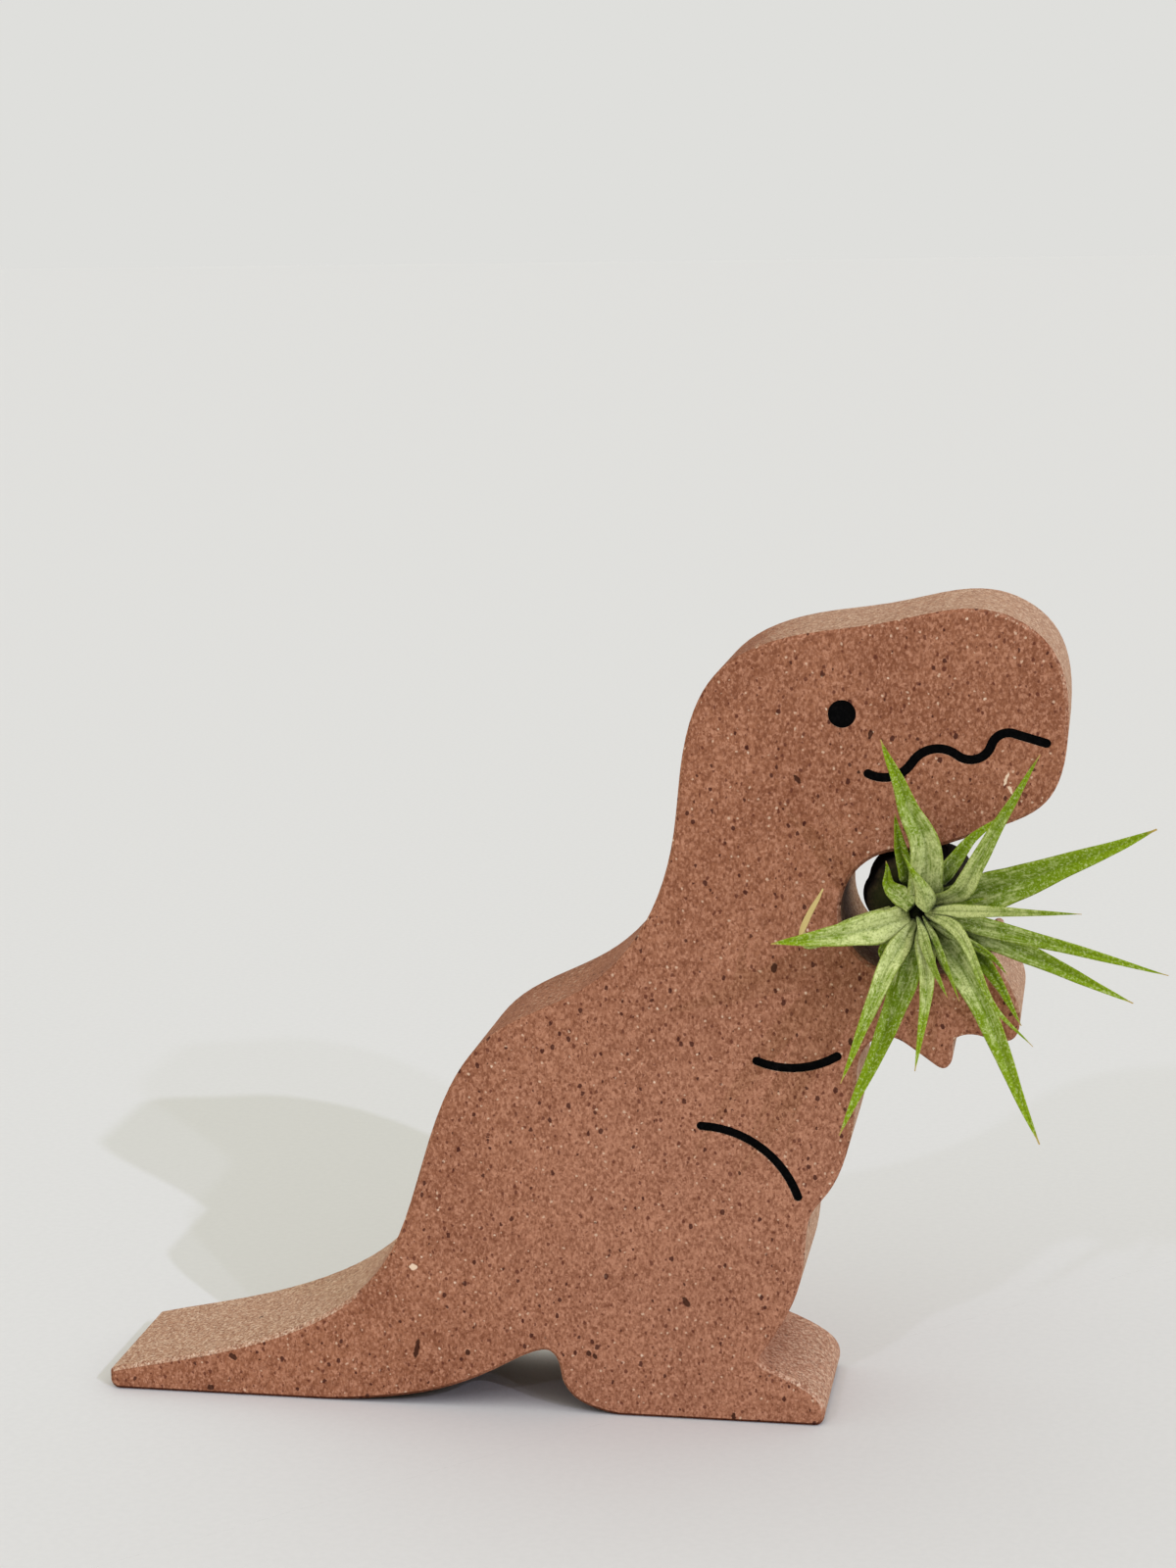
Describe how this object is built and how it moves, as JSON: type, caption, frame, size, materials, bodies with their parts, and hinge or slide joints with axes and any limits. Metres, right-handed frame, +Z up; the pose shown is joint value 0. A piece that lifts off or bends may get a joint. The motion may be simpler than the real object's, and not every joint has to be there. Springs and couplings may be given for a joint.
{
  "type": "air plant holder",
  "caption": "Flat cast dinosaur figure standing on its foot and long tail, with sunk black face and limb lines and a round-ended slot that holds a small air plant by its bulb.",
  "frame": {"origin": "on the ground, under the middle of the foot's sole and of the slab's thickness", "axes": "+X along the slab from the tail towards the snout, +Y from the front face to the bare back face, +Z up"},
  "size_m": [0.1537, 0.0591, 0.1183],
  "materials": {
    "cast_stone": "matte cast, reddish brown with fine dark and cream grains",
    "black_inlay": "matte black fill",
    "plant_bulb": "dry dark sheath",
    "plant_leaf": "grey-green, with a fine silvery fuzz and drier yellow tips"
  },
  "bodies": {
    "holder": {"cast_body": "cast_stone", "eye_inlay": "black_inlay", "mouth_inlay": "black_inlay", "arm_line_inlay": "black_inlay", "thigh_line_inlay": "black_inlay"},
    "air_plant": {"plant_bulb": "plant_bulb", "outer_leaf_1": "plant_leaf", "outer_leaf_2": "plant_leaf", "outer_leaf_3": "plant_leaf", "outer_leaf_4": "plant_leaf", "outer_leaf_5": "plant_leaf", "outer_leaf_6": "plant_leaf", "outer_leaf_7": "plant_leaf", "outer_leaf_8": "plant_leaf", "outer_leaf_9": "plant_leaf", "middle_leaf_1": "plant_leaf", "middle_leaf_2": "plant_leaf", "middle_leaf_3": "plant_leaf", "middle_leaf_4": "plant_leaf", "middle_leaf_5": "plant_leaf", "middle_leaf_6": "plant_leaf", "middle_leaf_7": "plant_leaf", "middle_leaf_8": "plant_leaf", "inner_leaf_1": "plant_leaf", "inner_leaf_2": "plant_leaf", "inner_leaf_3": "plant_leaf", "inner_leaf_4": "plant_leaf", "inner_leaf_5": "plant_leaf", "inner_leaf_6": "plant_leaf"}
  },
  "joints": [
    {"name": "plant_pull", "type": "slide", "parent": "holder", "child": "air_plant", "axis": [0, -1, 0], "range_m": [0, 0.045]}
  ]
}
